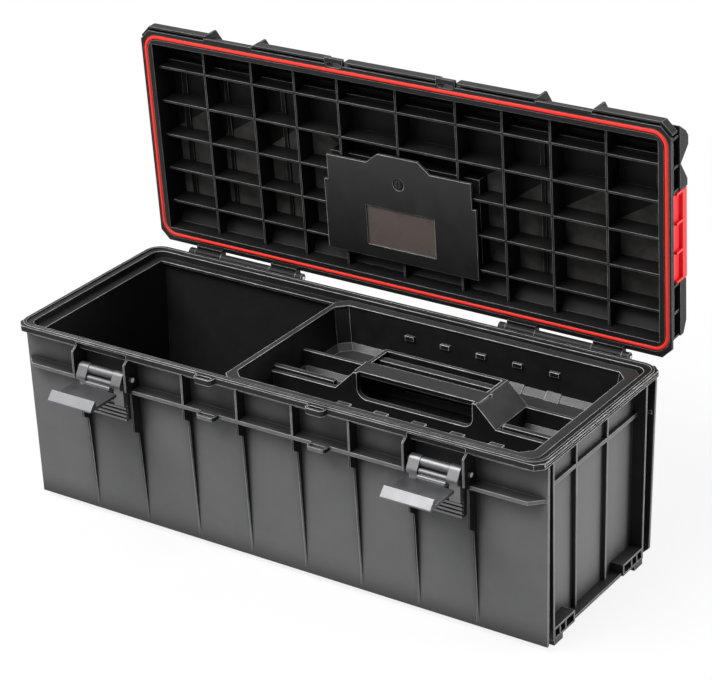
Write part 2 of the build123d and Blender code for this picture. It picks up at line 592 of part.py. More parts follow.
RIB_TOP_LINE = [
    (-CAVITY_Y - SKIN, RIBS_Z),
    (-CAVITY_Y - SKIN, ROOF_Z - SLOPE_Z + CAVITY_RISE),
    (-CORE_Y + SLOPE_Y, ROOF_Z + SKIN / 2),
    (CORE_Y - SLOPE_Y, ROOF_Z + SKIN / 2),
    (CAVITY_Y + SKIN, ROOF_Z - SLOPE_Z + CAVITY_RISE),
    (CAVITY_Y + SKIN, RIBS_Z),
]
lid_bits = []
rib_places = [0]
for k in range(len(LID_BAYS)):
    x = CAVITY_X - sum(LID_BAYS[:k + 1])
    rib_places += [-x, x]
for x in rib_places:
    lid_bits.append(side_plate(RIB_TOP_LINE, x - LID_RIB_T / 2, x + LID_RIB_T / 2))
for y in (-ROW_2, -ROW_PITCH, 0, ROW_PITCH, ROW_2):
    lid_bits.append(block(-CAVITY_X - SKIN, CAVITY_X + SKIN, y - LID_RIB_T / 2, y + LID_RIB_T / 2,
                          RIBS_Z, ROOF_Z + SKIN / 2))
lid_bits.append(block(-CAVITY_X - SKIN, CAVITY_X + SKIN, -ROW_2 - STEP_W, -ROW_2,
                      ROOF_Z - STEP_H, ROOF_Z + SKIN / 2))
lid_bits.append(block(-WELL_HALF - WELL_WALL, WELL_HALF + WELL_WALL, WELL_Y0 - WELL_WALL,
                      WELL_Y1 + WELL_WALL, WELL_Z - SKIN, ROOF_Z + SKIN / 2))
lid_bits.append(rod_z(0, 0, RIBS_Z, WELL_Z - SKIN / 2, BOSS_R))

# Lid flange, gasket bed, bumper and catches
FLANGE_LINE = cut_corners(-LID_X, LID_X, -LID_FRONT, LID_BACK, LID_CORNER)
flange = flat_plate(FLANGE_LINE, LID_Z, LID_Z + LID_FLANGE_T)
bed = round_plate(GASKET_X + BED_OUT, GASKET_Y + BED_OUT, GASKET_CORNER + BED_OUT, LID_Z, BED_TOP)
lid_flange = flange.fuse(bed)
lid_flange -= block(-CAVITY_X, CAVITY_X, -CAVITY_Y, CAVITY_Y, LID_Z - 1, BED_TOP + 1)
lid_flange -= round_plate(CAVITY_X + FRAME_W, CAVITY_Y + FRAME_W, FRAME_W, LID_Z - 1, LID_Z + FRAME_RISE)
lid_bits.append(lid_flange)
BUMPER_Z0 = LID_Z + BUMPER_LOW
BUMPER_Z = LID_Z + BUMPER_H
BUMPER_X = LID_X - LID_CORNER
CORE_IN = CORE_Y - SKIN / 2
BUMPER_RISE = SLOPE_Z * (BUMPER_OUT - CORE_IN) / SLOPE_Y
bumper = flat_plate(cut_corners(-LID_X, LID_X, -BUMPER_OUT, CORE_Y, LID_CORNER), BUMPER_Z0, BUMPER_Z)
bumper_room = cut_corners(BUMPER_T - LID_X, LID_X - BUMPER_T, BUMPER_T - BUMPER_OUT, CORE_Y + LID_CORNER,
                          LID_CORNER)
bumper -= flat_plate(bumper_room, BUMPER_Z0 - 1, BUMPER_Z - BUMPER_T)
bumper -= block(-LID_X - 1, LID_X + 1, LID_CORNER + BUMPER_T - BUMPER_OUT, CORE_Y + 1, LID_Z, LID_TOP)
SLAB_LINE = [
    (-BUMPER_OUT, BUMPER_Z - BUMPER_T), (-BUMPER_OUT, BUMPER_Z), (-CORE_IN, BUMPER_Z + BUMPER_RISE),
    (-CORE_IN, BUMPER_Z - BUMPER_T),
]
bumper = bumper.fuse(side_plate(SLAB_LINE, -BUMPER_X, BUMPER_X))
CHEEK_Z = LID_TOP - CHEEK_LOW
CHEEK_TIP = CHEEK_Z + CHEEK_W * SLOPE_Z / SLOPE_Y
CHEEK_LINE = [
    (-CORE_IN, BUMPER_Z0), (-BUMPER_OUT, BUMPER_Z0), (-BUMPER_OUT, CHEEK_Z),
    (-BUMPER_OUT + CHEEK_W, CHEEK_TIP), (-CORE_Y + SLOPE_Y - SKIN, LID_TOP - SKIN),
    (-CORE_IN, LID_TOP - SLOPE_Z),
]
for s in (-1, 1):
    gap0 = s * LATCH_X - CATCH_HALF
    gap1 = s * LATCH_X + CATCH_HALF
    bumper -= block(gap0, gap1, -BUMPER_OUT - 1, -CORE_Y, LID_Z - 1, LID_TOP)
    lid_bits.append(block(gap0, gap1, -CATCH_OUT, -CORE_IN, LID_Z, LID_Z + LID_FLANGE_T))
    lid_bits.append(side_plate(CHEEK_LINE, gap0 - CHEEK_T, gap0))
    lid_bits.append(side_plate(CHEEK_LINE, gap1, gap1 + CHEEK_T))
    lid_bits.append(block(s * PAD_X - LOOP_L / 2, s * PAD_X + LOOP_L / 2,
                          PAD_Y - PAD_HOLE_W / 2 - LOOP_OUT, -CORE_IN, LID_Z, LID_Z + RIB_T))
lid_bits.append(bumper)

# Blocks at the lid ends, held by struts, with a room for the clip between them
BLOCK_F = CLIP_Y0 - CLIP_SIDE_GAP
BLOCK_B = CLIP_Y1 + CLIP_SIDE_GAP
BLOCK_Z = LID_Z + BLOCK_LIFT
FRONT_L = CORE_Y + BLOCK_F
BACK_L = CORE_Y - BLOCK_B
NOSE_Y = BLOCK_F - FRONT_L * NOSE_AT
TAIL_Y = BLOCK_B + BACK_L * TAIL_AT
FRONT_BLOCK = [
    (BLOCK_F, BLOCK_Z), (BLOCK_F, LID_TOP - FLAT_LOW),
    (BLOCK_F - FRONT_L * FLAT_AT, LID_TOP - FLAT_LOW),
    (BLOCK_F - FRONT_L * NOTCH_AT, BLOCK_Z + NOTCH_LAND),
    (BLOCK_F - FRONT_L * PEAK_AT, LID_TOP - PEAK_LOW),
    (BLOCK_F - FRONT_L * PEAK_END, LID_TOP - PEAK_LOW),
    (NOSE_Y, LID_TOP - NOSE_LOW), (-CORE_Y, BLOCK_Z),
]
BACK_BLOCK = [
    (BLOCK_B, BLOCK_Z), (BLOCK_B, LID_TOP - NOSE_LOW),
    (BLOCK_B + BACK_L * SHOULDER_AT, LID_TOP - NOSE_LOW),
    (TAIL_Y, BLOCK_Z + TAIL_H), (TAIL_Y, BLOCK_Z),
]
for points in (FRONT_BLOCK, BACK_BLOCK):
    cheek = side_plate(points, CORE_X - SKIN, BLOCK_X)
    lid_bits.append(cheek)
    lid_bits.append(mirror_x(cheek))
NOTCH_Y = BLOCK_F - FRONT_L * NOTCH_AT
for y in (BLOCK_F - STRUT_T, NOTCH_Y, NOSE_Y, BLOCK_B, (BLOCK_B + TAIL_Y) / 2, TAIL_Y - STRUT_T):
    strut = block(CORE_X - SKIN, LID_X, y, y + STRUT_T, LID_Z, BLOCK_Z + STRUT_T)
    lid_bits.append(strut)
    lid_bits.append(mirror_x(strut))

# Hinge knuckles on the lid
for a, b in ((MID_X1 + SIDE_GAP, OUT_X1 - SIDE_GAP), (OUT_X0 + SIDE_GAP, MID_X0 - SIDE_GAP)):
    for s in (-1, 1):
        x0 = min(s * a, s * b)
        x1 = max(s * a, s * b)
        lid_bits.append(rod_x(x0, x1, HINGE_Y, HINGE_Z, BARREL_R))
        lid_bits.append(block(x0, x1, LID_BACK - RIM_T, HINGE_Y, HINGE_Z, LID_Z + LID_FLANGE_T))

lid = lid.fuse(*lid_bits)
groove_out = GASKET_R + GASKET_ROOM
groove = round_plate(GASKET_X + groove_out, GASKET_Y + groove_out, GASKET_CORNER + groove_out,
                     LID_Z - 1, GASKET_Z + GASKET_FLAT)
groove -= round_plate(GASKET_X - groove_out, GASKET_Y - groove_out, GASKET_CORNER - groove_out,
                      LID_Z - 1, GASKET_Z + GASKET_FLAT)
lid -= groove
lid -= block(-WELL_HALF, WELL_HALF, WELL_Y0, WELL_Y1, WELL_Z, LID_TOP + 1)
HANDLE_PIN_X0 = HANDLE_HALF - HANDLE_ARM_W - PIN_PROUD
HANDLE_PIN_X1 = WELL_HALF + WELL_WALL - PIN_PROUD
for s in (-1, 1):
    lid -= slot_hole(s * PAD_X, PAD_Y, PAD_HOLE_L, PAD_HOLE_W, LID_Z - 1, LID_Z + RIB_T + 1)
    lid -= block(s * PAD_X - LOOP_L / 2, s * PAD_X + LOOP_L / 2, PAD_Y - LOOP_W, -CORE_Y,
                 LID_Z + RIB_T, LID_TOP)
    lid -= rod_x(s * HINGE_X - MID_BARREL * 2, s * HINGE_X + MID_BARREL * 2,
                 HINGE_Y, HINGE_Z, HINGE_PIN_R + RUN_GAP)
    p0 = min(s * HANDLE_PIN_X0, s * HANDLE_PIN_X1)
    p1 = max(s * HANDLE_PIN_X0, s * HANDLE_PIN_X1)
    lid -= rod_x(p0, p1, HANDLE_PIVOT_Y, HANDLE_PIVOT_Z, HANDLE_PIN_R)
    lid -= rod_y(s * CLIP_AXIS_X, BLOCK_F - WELL_WALL, BLOCK_B + WELL_WALL, CLIP_AXIS_Z, CLIP_PIN_R)
lid -= rod_z(0, 0, COVER_Z, COVER_Z + SCREW_L, SCREW_R)
lid_shell = one(lid)

# Gasket: a round cord with a flat back, in the groove of the lid
gasket_path = Pos(0, 0, GASKET_Z) * RectangleRounded(2 * GASKET_X, 2 * GASKET_Y, GASKET_CORNER)
gasket_wire = gasket_path.wire()
ring_at = gasket_wire @ 0
section = Plane(origin=ring_at, z_dir=gasket_wire % 0) * Circle(GASKET_R)
gasket = sweep(section, path=gasket_wire)
gasket -= block(-LID_X, LID_X, -LID_X, LID_X, GASKET_Z + GASKET_FLAT, LID_TOP)
lid_gasket = one(gasket)

# Handle cover inside the lid, with its screw
COVER_LINE = [
    (-COVER_HALF, COVER_BACK), (-COVER_HALF, COVER_STEP), (-COVER_NECK, COVER_STEP),
    (-COVER_NECK, -COVER_FRONT), (-NOSE_HALF - NOSE_SLOPE, -COVER_FRONT),
    (-NOSE_HALF, -COVER_FRONT - COVER_NOSE), (NOSE_HALF, -COVER_FRONT - COVER_NOSE),
    (NOSE_HALF + NOSE_SLOPE, -COVER_FRONT), (COVER_NECK, -COVER_FRONT),
    (COVER_NECK, COVER_STEP), (COVER_HALF, COVER_STEP), (COVER_HALF, COVER_BACK),
]
cover = flat_plate(COVER_LINE, COVER_Z, RIBS_Z)
cover -= block(-WINDOW_HALF, WINDOW_HALF, WINDOW_Y0, WINDOW_Y1, COVER_Z - 1, COVER_Z + WINDOW_D)
cover -= rod_z(0, 0, COVER_Z - 1, RIBS_Z + 1, SCREW_R)
cover -= rod_z(0, 0, COVER_Z - 1, COVER_Z + SCREW_HEAD_H / 2, BOSS_R)
handle_cover = one(cover)
head_z = COVER_Z + SCREW_HEAD_H / 2
screw = rod_z(0, 0, head_z - SCREW_HEAD_H, head_z, SCREW_HEAD_R)
screw = screw.fuse(rod_z(0, 0, head_z - SCREW_HEAD_H / 2, COVER_Z + SCREW_L - PIN_PROUD, SCREW_R))
slot_w = SCREW_R / 2
screw -= block(-SCREW_HEAD_R, SCREW_HEAD_R, -slot_w / 2, slot_w / 2,
               head_z - SCREW_HEAD_H - 1, head_z - SCREW_HEAD_H / 2)
screw -= block(-slot_w / 2, slot_w / 2, -SCREW_HEAD_R, SCREW_HEAD_R,
               head_z - SCREW_HEAD_H - 1, head_z - SCREW_HEAD_H / 2)
cover_screw = one(screw)

# Carry handle folded in its recess
HANDLE_Z1 = HANDLE_Z0 + HANDLE_T
HANDLE_END_Y = HANDLE_PIVOT_Y + HANDLE_REACH
handle_bits = []
for s in (-1, 1):
    a0 = min(s * HANDLE_HALF, s * (HANDLE_HALF - HANDLE_ARM_W))
    a1 = max(s * HANDLE_HALF, s * (HANDLE_HALF - HANDLE_ARM_W))
    handle_bits.append(block(a0, a1, HANDLE_PIVOT_Y, HANDLE_END_Y, HANDLE_Z0, HANDLE_Z1))
    handle_bits.append(rod_x(a0, a1, HANDLE_PIVOT_Y, HANDLE_PIVOT_Z, HANDLE_T / 2))
bar = block(-HANDLE_HALF, HANDLE_HALF, HANDLE_END_Y - GRIP_BAR_W, HANDLE_END_Y, HANDLE_Z0, HANDLE_Z1)
bar = fillet(bar.edges().filter_by(Axis.X), HANDLE_T / 4)
handle_bits.append(bar)
handle = fused(handle_bits)
for s in (-1, 1):
    p0 = min(s * HANDLE_PIN_X0, s * HANDLE_PIN_X1)
    p1 = max(s * HANDLE_PIN_X0, s * HANDLE_PIN_X1)
    handle -= rod_x(p0, p1, HANDLE_PIVOT_Y, HANDLE_PIVOT_Z, HANDLE_PIN_R + RUN_GAP)
carry_handle = one(handle)
handle_pin_right = rod_x(HANDLE_PIN_X0, HANDLE_PIN_X1, HANDLE_PIVOT_Y, HANDLE_PIVOT_Z, HANDLE_PIN_R)
handle_pin_left = mirror_x(handle_pin_right)

# End clips with their pins
clip = block(CLIP_X0, CLIP_X1, CLIP_Y0, CLIP_Y1, CLIP_Z0, CLIP_Z1)
cell = (CLIP_L - (CLIP_CELLS + 1) * CLIP_WALL) / CLIP_CELLS
for k in range(CLIP_CELLS):
    c0 = CLIP_Y0 + CLIP_WALL + k * (cell + CLIP_WALL)
    clip -= block(CLIP_X1 - CLIP_POCKET, CLIP_X1 + 1, c0, c0 + cell,
                  CLIP_Z0 - 1, CLIP_AXIS_Z - CLIP_PIN_R - CLIP_WALL)
clip -= rod_y(CLIP_AXIS_X, CLIP_Y0 - 1, CLIP_Y1 + 1, CLIP_AXIS_Z, CLIP_PIN_R + RUN_GAP)
end_clip_right = one(clip)
end_clip_left = mirror_x(end_clip_right)
end_clip_pin_right = rod_y(CLIP_AXIS_X, BLOCK_F - WELL_WALL, BLOCK_B + WELL_WALL, CLIP_AXIS_Z, CLIP_PIN_R)
end_clip_pin_left = mirror_x(end_clip_pin_right)

# Latch lever, hanging on its pin between two ears
ARM_X0 = LEVER_HALF - ARM_W
GRIP_Z1 = PIN1_Z - ARM_LEN
GRIP_Z0 = GRIP_Z1 - GRIP_H
ARM_BACK = PIN1_Y + ARM_T / 2
ARM_FRONT = PIN1_Y - ARM_T / 2
lever_bits = [
    block(-LEVER_HALF, LEVER_HALF, ARM_BACK - GRIP_T, ARM_BACK, GRIP_Z0, GRIP_Z1),
    rod_x(-ARM_X0, ARM_X0, PIN1_Y, PIN1_Z, HUB_R),
]
for s in (-1, 1):
    a0 = min(s * ARM_X0, s * LEVER_HALF)
    a1 = max(s * ARM_X0, s * LEVER_HALF)
    lever_bits.append(block(a0, a1, ARM_FRONT, ARM_BACK, GRIP_Z1 - GRIP_RIB_H, PIN1_Z))
    lever_bits.append(link_plate((PIN1_Y, PIN1_Z), KNUCKLE_R, (PIN2_Y, PIN2_Z), LOBE_R, a0, a1))
rib_step = (GRIP_H - GRIP_RIB_H) / GRIP_RIBS
for k in range(GRIP_RIBS):
    z = GRIP_Z0 + k * rib_step
    lever_bits.append(block(-LEVER_HALF, LEVER_HALF, ARM_BACK - GRIP_T - GRIP_RIB_OUT,
                            ARM_BACK - GRIP_T / 2, z, z + GRIP_RIB_H))
lever = fused(lever_bits)
lever -= rod_x(-LEVER_HALF - 1, LEVER_HALF + 1, PIN1_Y, PIN1_Z, PIN1_R + RUN_GAP)
lever -= rod_x(-LEVER_HALF - 1, LEVER_HALF + 1, PIN2_Y, PIN2_Z, PIN2_R)
lever = one(lever)
pin_half = FIN_PITCH / 2 + FIN_T / 2 + PIN1_PROUD
latch_pin = rod_x(-pin_half, pin_half, PIN1_Y, PIN1_Z, PIN1_R)
hook_pin = rod_x(-LEVER_HALF, LEVER_HALF, PIN2_Y, PIN2_Z, PIN2_R)

# Latch hook, standing straight out as modelled; shut it turns up over the lid catch
HOOK_IN = ARM_X0 - ARM_ROOM
HOOK_Z1 = PIN2_Z - HOOK_DROP
HOOK_Z0 = HOOK_Z1 - HOOK_T
CATCH_Z = LID_Z + LID_FLANGE_T + HOOK_ROOM
HOOK_LIP_Y1 = PIN2_Y - (CATCH_Z - PIN2_Z)
HOOK_LIP_Y0 = HOOK_LIP_Y1 - LIP_THICK
HOOK_TIP_Z = PIN2_Z - (max(CORE_Y, GASKET_Y + BED_OUT) + TIP_ROOM + PIN2_Y)
WIDE_Y = PIN2_Y - HOOK_ROOT
HOOK_LIP = [
    (HOOK_LIP_Y1, HOOK_Z0), (HOOK_LIP_Y1, HOOK_TIP_Z), (HOOK_LIP_Y1 - LIP_TIP, HOOK_TIP_Z),
    (HOOK_LIP_Y0, HOOK_Z0 + LIP_EDGE), (HOOK_LIP_Y0, HOOK_Z0),
]
hook_bits = [
    rod_x(-HOOK_IN, HOOK_IN, PIN2_Y, PIN2_Z, HOOK_TUBE_R),
    block(-HOOK_IN, HOOK_IN, PIN2_Y - WEB_T / 2, PIN2_Y + WEB_T / 2, HOOK_Z0, PIN2_Z),
    block(-HOOK_IN, HOOK_IN, WIDE_Y, PIN2_Y, HOOK_Z0, HOOK_Z1),
    rod_x(-HOOK_IN, HOOK_IN, PIN2_Y - HOOK_TUBE_R, HOOK_Z1, ROLL_R),
    block(-HOOK_HALF, HOOK_HALF, HOOK_LIP_Y1, WIDE_Y, HOOK_Z0, HOOK_Z1),
    side_plate(HOOK_LIP, -HOOK_HALF, HOOK_HALF),
]
hook = fused(hook_bits)
hook -= rod_x(-HOOK_IN - 1, HOOK_IN + 1, PIN2_Y, PIN2_Z, PIN2_R + RUN_GAP)
hook = one(hook)

# Lift-out tray on the ledge
TRAY_Y = RIM_Y - TRAY_ROOM
TRAY_TOP = LEDGE_Z + TRAY_RIM_T
BODY_Y = IN_Y - TRAY_SIDE_ROOM
BODY_X1 = IN_X - TRAY_SIDE_ROOM
BODY_X0 = TRAY_X0 + TRAY_RIM_T
BODY_Z = LEDGE_Z - TRAY_DEPTH
FLOOR_T = BODY_Z + TRAY_WALL
BAND_Z = FLOOR_T + BAND_H
BACK_PART_Y1 = BACK_PART_Y + BACK_PART_T
FRONT_PART_Y1 = FRONT_PART_Y + FRONT_PART_T
PART_Z = TRAY_TOP - PART_DROP


def lean_in(z):
    """How far the tray walls have leaned in at a height."""
    return TRAY_LEAN * (LEDGE_Z - z) / TRAY_DEPTH


def tray_ring(z, inset):
    """The outline of the tray body at a height, set in by a wall."""
    c = inset + lean_in(z)
    points = cut_corners(BODY_X0 + c, BODY_X1 - c, c - BODY_Y, BODY_Y - c, TRAY_CORNER)
    return make_face(Polyline(*[(x, y, z) for x, y in points], close=True))


tray_body = loft([tray_ring(BODY_Z, 0), tray_ring(LEDGE_Z, 0)])
body_top = cut_corners(BODY_X0, BODY_X1, -BODY_Y, BODY_Y, TRAY_CORNER)
tray_room = cut_corners(BODY_X0 + TRAY_WALL, BODY_X1 - TRAY_WALL, TRAY_WALL - BODY_Y, BODY_Y - TRAY_WALL,
                        TRAY_CORNER)
tray = flat_plate(cut_corners(TRAY_X0, TRAY_X1, -TRAY_Y, TRAY_Y, TRAY_CORNER), LEDGE_Z, TRAY_TOP)
tray = tray.fuse(tray_body)
tray -= flat_plate(tray_room, LEDGE_Z, TRAY_TOP + 1)
tray -= loft([tray_ring(BAND_Z, TRAY_WALL), tray_ring(LEDGE_Z, TRAY_WALL)])
tray -= loft([tray_ring(FLOOR_T, TRAY_WALL + BAND_W), tray_ring(BAND_Z, TRAY_WALL)])
tray_bits = [
    block(BODY_X0, BODY_X1, BACK_PART_Y, BACK_PART_Y1, BODY_Z, PART_Z),
    block(BODY_X0, BODY_X1, FRONT_PART_Y, FRONT_PART_Y1, BODY_Z, PART_Z),
    side_plate([(BACK_PART_Y1, BAND_Z), (BACK_PART_Y, BAND_Z), (BACK_PART_Y - BAND_W, FLOOR_T),
                (BACK_PART_Y - BAND_W, BODY_Z), (BACK_PART_Y1, BODY_Z)], BODY_X0, BODY_X1),
]
HUMP_X0 = HUMP_X - HUMP_TOP_HALF
HUMP_X1 = HUMP_X + HUMP_TOP_HALF
HUMP_LINE = [
    (HUMP_X0 - HUMP_SLOPE, PART_Z), (HUMP_X0, TRAY_TOP),
    (HUMP_X1, TRAY_TOP), (HUMP_X1 + HUMP_SLOPE, PART_Z),
]
tray_bits.append(front_plate(HUMP_LINE, FRONT_PART_Y, FRONT_PART_Y1))
tray_bits.append(front_plate(HUMP_LINE, BACK_PART_Y, BACK_PART_Y1))
for s in (-1, 1):
    xa = HUMP_X + s * HUMP_TOP_HALF
    xb = HUMP_X + s * (HUMP_TOP_HALF + HUMP_SLOPE)
    xc = HUMP_X + s * (HUMP_TOP_HALF + HUMP_SLOPE - HUMP_SIDE)
    xd = HUMP_X + s * (HUMP_TOP_HALF - HUMP_SIDE)
    tray_bits.append(front_plate([(xa, TRAY_TOP), (xb, PART_Z), (xc, PART_Z), (xd, TRAY_TOP)],
                                 FRONT_PART_Y, BACK_PART_Y1))
    low0 = min(xb, xc)
    low1 = max(xb, xc)
    tray_bits.append(block(low0, low1, FRONT_PART_Y, BACK_PART_Y1, BODY_Z + TRAY_WALL / 2, PART_Z))
DECK_Z = TRAY_TOP - DECK_DROP
tray_bits.append(block(HUMP_X0 - HUMP_T, HUMP_X1 + HUMP_T, GRIP_Y1 - DECK_T, BACK_PART_Y1,
                       DECK_Z - DECK_T, DECK_Z))
tray_bits.append(block(HUMP_X0 - HUMP_T, HUMP_X1 + HUMP_T, GRIP_Y1 - DECK_T, GRIP_Y1,
                       DECK_Z - DECK_T, TRAY_TOP))
grip_bar = block(HUMP_X0 - HUMP_T / 2, HUMP_X1 + HUMP_T / 2, GRIP_Y0, GRIP_Y1, TRAY_TOP - GRIP_T2, TRAY_TOP)
tray_bits.append(block(HUMP_X0, HUMP_X1, REAR_BAR_Y0, REAR_BAR_Y1, DECK_Z - DECK_T,
                       TRAY_TOP - REAR_BAR_DROP))
STRIP_ENDS = ((BODY_X0, HUMP_X0 - HUMP_SLOPE - STRIP_T), (HUMP_X1 + HUMP_SLOPE + STRIP_T, BODY_X1))
for x0, x1 in STRIP_ENDS:
    tray_bits.append(block(x0, x1, FRONT_PART_Y1 - TRAY_WALL / 2, FRONT_PART_Y1 + STRIP_T,
                           PART_Z - STRIP_H, PART_Z + STRIP_H))
TAB_Z = TRAY_TOP - BACK_TAB_DROP
FRONT_TAB_Z = TRAY_TOP - FRONT_TAB_DROP
TAB_Y = BODY_Y - TRAY_WALL - lean_in(TAB_Z) - TAB_OUT
FRONT_TAB_Y = BODY_Y - TRAY_WALL - TAB_OUT
PAD_FOOT = BODY_Y - TRAY_WALL - lean_in(FLOOR_T) - BAND_W - PAD_T
PAD_HEAD = BODY_Y - TRAY_WALL - lean_in(BAND_Z)
PAD_LINE = [(PAD_FOOT, BODY_Z), (PAD_FOOT, FLOOR_T), (PAD_HEAD, BAND_Z + PAD_T), (BODY_Y, BAND_Z + PAD_T),
            (BODY_Y, BODY_Z)]
for k in range(TABS):
    step = (k - (TABS - 1) / 2) * TAB_PITCH
    x = HUMP_X + step
    tray_bits.append(block(x - TAB_W / 2, x + TAB_W / 2, TAB_Y, BODY_Y, TAB_Z - TAB_H, TAB_Z))
    tray_bits.append(side_plate(PAD_LINE, x - PAD_W / 2, x + PAD_W / 2))
    x = FRONT_TAB_X + step
    tray_bits.append(block(x - FRONT_TAB_W / 2, x + FRONT_TAB_W / 2, -BODY_Y, -FRONT_TAB_Y,
                           FRONT_TAB_Z - TAB_H, FRONT_TAB_Z))
tray_bits = fused(tray_bits) & tray_body.fuse(flat_plate(body_top, LEDGE_Z, TRAY_TOP))
tray = tray.fuse(tray_bits)
slot_box = block(HUMP_X - SLOT_HALF, HUMP_X + SLOT_HALF, FRONT_PART_Y - 1, FRONT_PART_Y1 + 1,
                 TRAY_TOP - SLOT_DROP, TRAY_TOP + SLOT_R)
tray -= fillet(slot_box.edges().filter_by(Axis.Y).group_by(Axis.Z)[0], SLOT_R)
tray = tray.fuse(grip_bar)
tool_tray = one(tray)


def opened(shape):
    """A lid piece swung to the open lid."""
    return shape.rotate(LID_AXIS, -LID_OPEN)


parts = {
    "base_tub": base_tub,
    "hinge_pin_left": hinge_pin_left,
    "hinge_pin_right": hinge_pin_right,
    "lid_shell": opened(lid_shell),
    "lid_gasket": opened(lid_gasket),
    "handle_cover": opened(handle_cover),
    "cover_screw": opened(cover_screw),
    "carry_handle": opened(carry_handle),
    "handle_pin_left": opened(handle_pin_left),
    "handle_pin_right": opened(handle_pin_right),
    "end_clip_left": opened(end_clip_left),
    "end_clip_right": opened(end_clip_right),
    "end_clip_pin_left": opened(end_clip_pin_left),
    "end_clip_pin_right": opened(end_clip_pin_right),
    "tool_tray": tool_tray,
}
for side, x in (("left", -LATCH_X), ("right", LATCH_X)):
    parts["latch_pin_" + side] = Pos(x, 0, 0) * latch_pin
    parts["latch_lever_" + side] = Pos(x, 0, 0) * lever
    parts["hook_pin_" + side] = Pos(x, 0, 0) * hook_pin
    parts["latch_hook_" + side] = Pos(x, 0, 0) * hook

os.makedirs("parts", exist_ok=True)
for name, shape in parts.items():
    shape.label = name
    export_step(shape, "parts/" + name + ".step")
    box = shape.bounding_box()
    print(name, len(shape.solids()), round(shape.volume), shape.is_valid,
          [round(v, 1) for v in (*box.min, *box.max)])
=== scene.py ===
import json
import math

import bpy
from mathutils import Matrix, Vector


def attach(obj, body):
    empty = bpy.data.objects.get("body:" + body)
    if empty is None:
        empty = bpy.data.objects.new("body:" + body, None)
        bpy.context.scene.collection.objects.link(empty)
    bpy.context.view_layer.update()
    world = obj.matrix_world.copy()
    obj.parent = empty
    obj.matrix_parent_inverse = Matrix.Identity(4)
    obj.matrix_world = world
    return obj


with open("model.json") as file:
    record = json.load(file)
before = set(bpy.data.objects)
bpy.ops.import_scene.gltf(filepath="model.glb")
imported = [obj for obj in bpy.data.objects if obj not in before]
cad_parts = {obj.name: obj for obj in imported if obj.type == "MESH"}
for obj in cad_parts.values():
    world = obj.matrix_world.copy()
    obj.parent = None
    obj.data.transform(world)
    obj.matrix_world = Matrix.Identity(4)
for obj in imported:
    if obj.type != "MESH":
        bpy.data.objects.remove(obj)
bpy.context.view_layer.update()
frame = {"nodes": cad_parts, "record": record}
nodes = frame["nodes"]
scene = bpy.context.scene
scene.view_settings.view_transform = "Standard"

WHITE = (1.0, 1.0, 1.0, 1.0)


# Node trees
class Tree:
    """A short way to write the nodes of a material or a world."""

    def __init__(self, owner, out_kind="ShaderNodeOutputMaterial"):
        owner.use_nodes = True
        self.nt = owner.node_tree
        self.nt.nodes.clear()
        self.out = self.add(out_kind)

    def add(self, kind, **sets):
        n = self.nt.nodes.new(kind)
        for k, v in sets.items():
            setattr(n, k, v)
        return n

    def link(self, a, b):
        self.nt.links.new(a, b)

    def noise(self, coord, scale, detail=4.0, rough=0.55):
        n = self.add("ShaderNodeTexNoise")
        n.inputs["Scale"].default_value = scale
        n.inputs["Detail"].default_value = detail
        n.inputs["Roughness"].default_value = rough
        self.link(coord, n.inputs["Vector"])
        return n.outputs["Fac"]

    def ramp(self, fac, dark, light):
        """From dark to light over the middle of the range of a noise."""
        r = self.add("ShaderNodeValToRGB")
        for stop, place, colour in zip(r.color_ramp.elements, (0.3, 0.7), (dark, light)):
            stop.position = place
            stop.color = (*colour, 1.0)
        self.link(fac, r.inputs["Fac"])
        return r.outputs["Color"]

    def remap(self, fac, lo, hi, to_lo, to_hi):
        m = self.add("ShaderNodeMapRange")
        m.inputs["From Min"].default_value = lo
        m.inputs["From Max"].default_value = hi
        m.inputs["To Min"].default_value = to_lo
        m.inputs["To Max"].default_value = to_hi
        self.link(fac, m.inputs["Value"])
        return m.outputs["Result"]

    def math(self, op, a, b):
        m = self.add("ShaderNodeMath", operation=op)
        for k, v in ((0, a), (1, b)):
            if isinstance(v, (int, float)):
                m.inputs[k].default_value = v
            else:
                self.link(v, m.inputs[k])
        return m.outputs["Value"]

    def mix(self, fac, colour, base, colour_first):
        """Mixes a set colour with a base; the colour shows at 0 if it is first, or else at 1."""
        m = self.add("ShaderNodeMix", data_type="RGBA")
        m.inputs["A" if colour_first else "B"].default_value = (*colour, 1.0)
        self.link(fac, m.inputs["Factor"])
        self.link(base, m.inputs["B" if colour_first else "A"])
        return m.outputs["Result"]

    def shade(self, distance, samples):
        """How open a place is to its surroundings, from 0 to 1."""
        n = self.add("ShaderNodeAmbientOcclusion", samples=samples)
        n.inputs["Distance"].default_value = distance
        return n.outputs["AO"]

    def glow(self, kind, strength):
        n = self.add(kind)
        n.inputs["Color"].default_value = WHITE
        n.inputs["Strength"].default_value = strength
        return n.outputs[0]

    def seen(self):
        """1 for the camera, mirrors and glass, 0 for the rest of the light."""
        path = self.add("ShaderNodeLightPath")
        a = self.math("MAXIMUM", path.outputs["Is Camera Ray"], path.outputs["Is Transmission Ray"])
        return self.math("MAXIMUM", a, path.outputs["Is Glossy Ray"])

    def blend(self, fac, plain, bright):
        """The surface of the tree: plain at 0, bright at 1."""
        m = self.add("ShaderNodeMixShader")
        self.link(fac, m.inputs["Fac"])
        self.link(plain, m.inputs[1])
        self.link(bright, m.inputs[2])
        self.link(m.outputs["Shader"], self.out.inputs["Surface"])


# Materials
NOOK_REACH = 0.035   # how far a recess is looked for
EDGE_REACH = 0.003   # how far a wall beside an edge is looked for
GRAIN_DEEP = 0.00012  # height of the surface grain


